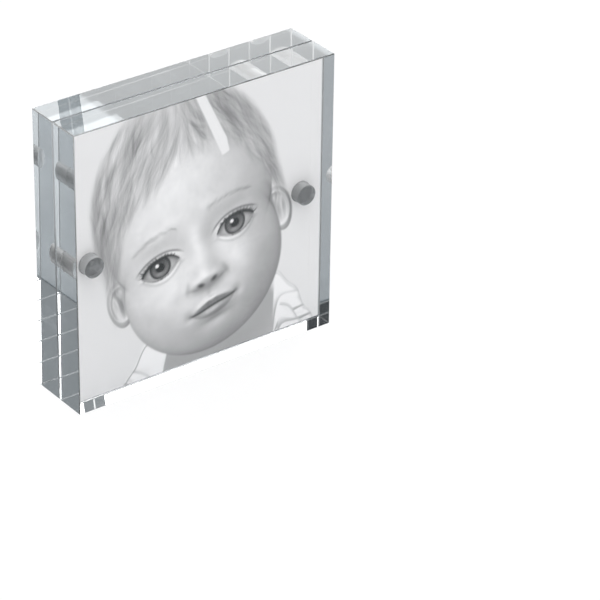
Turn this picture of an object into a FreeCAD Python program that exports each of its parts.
"""Magnetic acrylic block frame: two clear blocks that clamp a square photo print between them.

Units are millimetres. X runs along the width, Y from front to back and Z up. The origin is
the middle of the footprint, on the surface that the frame stands on.
"""
import FreeCAD, Part
import math
import os

import Sketcher

# Driving sizes, one spreadsheet cell each: alias, value, meaning.
DRIVING = [
    ("frame_width", 100.0, "width of both blocks"),
    ("frame_height", 100.0, "height of both blocks"),
    ("block_thickness", 11.5, "thickness of one block, cut from nominal 12 mm cast sheet"),
    ("edge_chamfer", 0.3, "scraped chamfer along every edge of a block"),
    ("print_thickness", 0.25, "thickness of the photo paper"),
    ("print_air", 0.05, "air left on each side of the print"),
    ("print_margin", 0.5, "how far the print stops short of the blocks' edges"),
    ("magnet_diameter", 7.0, "diameter of a magnet"),
    ("magnet_length", 5.0, "length of a magnet"),
    ("magnet_chamfer", 0.3, "chamfer of a magnet's plated rims"),
    ("magnet_inset", 8.5, "from a block's side to a magnet's axis"),
    ("magnet_recess", 0.1, "how far a magnet lies below its block's inner face"),
    ("hole_clearance", 0.05, "radial gap between a magnet and its hole"),
    ("mouth_chamfer", 0.2, "deburred edge at a hole's mouth"),
    ("adhesive_height", 1.4, "adhesive bed between a hole's floor and its magnet"),
]

# Sizes that follow from the driving ones: alias, formula, meaning.
FOLLOWING = [
    ("hole_diameter", "magnet_diameter + 2 * hole_clearance", "diameter of a magnet's hole"),
    ("hole_depth", "magnet_recess + magnet_length + adhesive_height", "depth of a magnet's hole"),
    ("magnet_offset", "frame_width / 2 - magnet_inset", "middle plane to a magnet's axis"),
    ("magnet_level", "frame_height / 2", "height of a magnet's axis"),
    ("print_width", "frame_width - 2 * print_margin", "width of the print"),
    ("print_height", "frame_height - 2 * print_margin", "height of the print"),
    ("block_depth", "print_thickness / 2 + print_air", "middle plane to a block's inner face"),
    ("magnet_depth", "block_depth + magnet_recess", "middle plane to a magnet's outer end"),
    ("adhesive_depth", "magnet_depth + magnet_length", "middle plane to an adhesive bed"),
]

# The frame's halves, and the side of the middle plane that each lies on, along Y.
HALVES = {"front": -1, "back": 1}
# The magnets of one half, and the side of the middle that each lies on, along X.
SIDES = {"left": -1, "right": 1}

# Constraints number a sketch's own axes down from -1, and the points of its lines and circles
# up from 1.
HORIZONTAL_AXIS, VERTICAL_AXIS = range(-1, -3, -1)
START, END, CENTRE = range(1, 4)

ORIGIN = FreeCAD.Vector(0, 0, 0)
Z_AXIS = FreeCAD.Vector(0, 0, 1)
HALF_TURN = 180
SAME_PLACE = 1e-6
VOLUME_ERROR_SHARE = 1e-3


def add_sizes(doc):
    """Put the driving and the following sizes into a spreadsheet, one row each."""
    sheet = doc.addObject("Spreadsheet::Sheet", "sizes")
    rows = [(alias, str(value), meaning) for alias, value, meaning in DRIVING]
    rows += [(alias, f"={formula}", meaning) for alias, formula, meaning in FOLLOWING]
    for row, (alias, content, meaning) in enumerate(rows, start=1):
        sheet.set(f"A{row}", alias)
        sheet.set(f"B{row}", content)
        sheet.setAlias(f"B{row}", alias)
        sheet.set(f"C{row}", meaning)
        doc.recompute()
    return sheet


def new_body(doc, name):
    """An empty body whose label is its name."""
    body = doc.addObject("PartDesign::Body", name)
    body.Label = name
    return body


def new_sketch(body, name):
    """An empty sketch on the body's own XZ plane."""
    sketch = body.newObject("Sketcher::SketchObject", name)
    plane = next(feature for feature in body.Origin.OriginFeatures if feature.Role == "XZ_Plane")
    sketch.AttachmentSupport = (plane, [""])
    sketch.MapMode = "FlatFace"
    return sketch


def drive(sketch, constraint, name, formula):
    """Add a named constraint to a sketch and let a formula of the spreadsheet set its value."""
    index = sketch.addConstraint(constraint)
    sketch.renameConstraint(index, name)
    sketch.setExpression(f"Constraints.{name}", formula)


def draw_outline(sketch, sheet):
    """A block's outline: it stands on the horizontal axis, centred on the vertical one."""
    half = sheet.frame_width / 2
    corners = [(-half, 0), (half, 0), (half, sheet.frame_height), (-half, sheet.frame_height)]
    points = [FreeCAD.Vector(x, y, 0) for x, y in corners]
    for start, end in zip(points, points[1:] + points[:1]):
        sketch.addGeometry(Part.LineSegment(start, end))
    bottom, right, top, left = range(len(points))
    for line, following in ((bottom, right), (right, top), (top, left), (left, bottom)):
        sketch.addConstraint(Sketcher.Constraint("Coincident", line, END, following, START))
    sketch.addConstraint(Sketcher.Constraint("Horizontal", top))
    sketch.addConstraint(Sketcher.Constraint("Vertical", right))
    sketch.addConstraint(Sketcher.Constraint("Vertical", left))
    standing = Sketcher.Constraint("PointOnObject", bottom, START, HORIZONTAL_AXIS)
    sketch.addConstraint(standing)
    centred = Sketcher.Constraint("Symmetric", bottom, START, bottom, END, VERTICAL_AXIS)
    sketch.addConstraint(centred)
    width = Sketcher.Constraint("DistanceX", bottom, START, bottom, END, sheet.frame_width)
    drive(sketch, width, "width", "sizes.frame_width")
    height = Sketcher.Constraint("DistanceY", right, START, right, END, sheet.frame_height)
    drive(sketch, height, "height", "sizes.frame_height")


def draw_holes(sketch, sheet):
    """A circle for each magnet's hole, at mid-height and as far in from each side."""
    for side, sign in SIDES.items():
        across = sign * sheet.magnet_offset
        centre = FreeCAD.Vector(across, sheet.magnet_level, 0)
        circle = sketch.addGeometry(Part.Circle(centre, Z_AXIS, sheet.hole_diameter / 2))
        diameter = Sketcher.Constraint("Diameter", circle, sheet.hole_diameter)
        drive(sketch, diameter, f"{side}_diameter", "sizes.hole_diameter")
        start = (HORIZONTAL_AXIS, START)
        offset = Sketcher.Constraint("DistanceX", *start, circle, CENTRE, across)
        drive(sketch, offset, f"{side}_offset", f"{sign} * sizes.magnet_offset")
        level = Sketcher.Constraint("DistanceY", *start, circle, CENTRE, sheet.magnet_level)
        drive(sketch, level, f"{side}_level", "sizes.magnet_level")


def draw_disc(sketch, sheet):
    """A circle as wide as a magnet, round the sketch's origin."""
    circle = sketch.addGeometry(Part.Circle(ORIGIN, Z_AXIS, sheet.magnet_diameter / 2))
    centred = Sketcher.Constraint("Coincident", circle, CENTRE, HORIZONTAL_AXIS, START)
    sketch.addConstraint(centred)
    diameter = Sketcher.Constraint("Diameter", circle, sheet.magnet_diameter)
    drive(sketch, diameter, "diameter", "sizes.magnet_diameter")


def edge_names(shape, wanted):
    """The names of a shape's edges that a test accepts."""
    return [f"Edge{n}" for n, edge in enumerate(shape.Edges, start=1) if wanted(edge)]


def is_round(edge):
    """True for a full circle."""
    return isinstance(edge.Curve, Part.Circle) and edge.isClosed()


def is_mouth(edge):
    """True for a full circle on the plane that a block's holes are bored from."""
    return is_round(edge) and abs(edge.Curve.Center.y) < SAME_PLACE


def make_block(doc, sheet, name):
    """A clear block with its inner face on its own XZ plane, and the rest towards its -Y.

    The blank is chamfered along every edge. The magnets' flat-bottomed holes are then bored
    from the inner face, and their mouths are deburred.
    """
    body = new_body(doc, name)
    outline = new_sketch(body, f"{name}_outline")
    draw_outline(outline, sheet)
    blank = body.newObject("PartDesign::Pad", f"{name}_blank")
    blank.Profile = outline
    blank.setExpression("Length", "sizes.block_thickness")
    doc.recompute()

    edges = body.newObject("PartDesign::Chamfer", f"{name}_edges")
    edges.Base = (blank, edge_names(blank.Shape, lambda edge: True))
    edges.setExpression("Size", "sizes.edge_chamfer")
    doc.recompute()

    circles = new_sketch(body, f"{name}_circles")
    draw_holes(circles, sheet)
    holes = body.newObject("PartDesign::Pocket", f"{name}_holes")
    holes.Profile = circles
    holes.Reversed = True
    holes.setExpression("Length", "sizes.hole_depth")
    doc.recompute()
    check_bored(edges.Shape, holes.Shape, sheet)

    mouths = body.newObject("PartDesign::Chamfer", f"{name}_mouths")
    mouths.Base = (holes, edge_names(holes.Shape, is_mouth))
    mouths.setExpression("Size", "sizes.mouth_chamfer")
    return body


def check_bored(before, after, sheet):
    """Stop unless boring took away the volume of the magnets' holes."""
    hole_volume = math.pi * (sheet.hole_diameter / 2) ** 2 * sheet.hole_depth
    error = (before.Volume - after.Volume) / (len(SIDES) * hole_volume) - 1
    if abs(error) > VOLUME_ERROR_SHARE:
        raise RuntimeError(f"the magnets' holes are {error:+.1%} off their volume")


def make_magnet(doc, sheet, name):
    """A plated disc magnet with its outer end on its own XZ plane, and the rest towards its -Y."""
    body = new_body(doc, name)
    disc = new_sketch(body, f"{name}_disc")
    draw_disc(disc, sheet)
    core = body.newObject("PartDesign::Pad", f"{name}_core")
    core.Profile = disc
    core.setExpression("Length", "sizes.magnet_length")
    doc.recompute()

    rims = body.newObject("PartDesign::Chamfer", f"{name}_rims")
    rims.Base = (core, edge_names(core.Shape, is_round))
    rims.setExpression("Size", "sizes.magnet_chamfer")
    return body


def make_adhesive(doc, sheet, name):
    """The cured bed that joins a magnet to its hole's floor. It is as wide as the magnet."""
    body = new_body(doc, name)
    disc = new_sketch(body, f"{name}_disc")
    draw_disc(disc, sheet)
    bed = body.newObject("PartDesign::Pad", f"{name}_bed")
    bed.Profile = disc
    bed.setExpression("Length", "sizes.adhesive_height")
    return body


def make_print(doc, name):
    """The photo print, a flat sheet on the middle plane."""
    paper = doc.addObject("Part::Box", name)
    paper.Label = name
    paper.setExpression("Length", "sizes.print_width")
    paper.setExpression("Width", "sizes.print_thickness")
    paper.setExpression("Height", "sizes.print_height")
    place(paper, "-sizes.print_width / 2", "-sizes.print_thickness / 2", "sizes.print_margin")
    return paper


def place(piece, across, depth, level):
    """Bind a piece's place along X, Y and Z to formulas of the spreadsheet."""
    for axis, formula in zip("xyz", (across, depth, level)):
        piece.setExpression(f"Placement.Base.{axis}", formula)


def place_in_half(piece, half, across, depth, level):
    """Set a piece in the front or the back half, turned so that it points away from the print."""
    if half == "back":
        piece.Placement = FreeCAD.Placement(ORIGIN, FreeCAD.Rotation(Z_AXIS, HALF_TURN))
    place(piece, across, f"{HALVES[half]} * {depth}", level)


def make_half(doc, sheet, half):
    """One block with its magnets and the adhesive that holds them."""
    block = make_block(doc, sheet, f"{half}_block")
    place_in_half(block, half, "0", "sizes.block_depth", "0")
    pieces = [block]
    for side, sign in SIDES.items():
        across = f"{sign} * sizes.magnet_offset"
        magnet = make_magnet(doc, sheet, f"{half}_{side}_magnet")
        place_in_half(magnet, half, across, "sizes.magnet_depth", "sizes.magnet_level")
        adhesive = make_adhesive(doc, sheet, f"{half}_{side}_adhesive")
        place_in_half(adhesive, half, across, "sizes.adhesive_depth", "sizes.magnet_level")
        pieces += [magnet, adhesive]
    return pieces


def check(doc, pieces):
    """Stop if any feature failed, or if a piece has no valid shape."""
    failed = [f.Name for f in doc.Objects if "Invalid" in f.State or "Error" in f.State]
    if failed:
        raise RuntimeError(f"these features failed: {failed}")
    for piece in pieces:
        if piece.Shape.isNull() or not piece.Shape.isValid():
            raise RuntimeError(f"{piece.Label} has no valid shape")


def export(pieces):
    """Write each piece to its own STEP file, named by its label."""
    os.makedirs("parts", exist_ok=True)
    for piece in pieces:
        piece.Shape.exportStep(f"parts/{piece.Label}.step")


def main():
    """Build the frame, check it and write its pieces."""
    doc = FreeCAD.newDocument("block_frame")
    sheet = add_sizes(doc)
    pieces = [make_print(doc, "photo_print")]
    for half in HALVES:
        pieces += make_half(doc, sheet, half)
    doc.recompute()
    check(doc, pieces)
    export(pieces)


main()
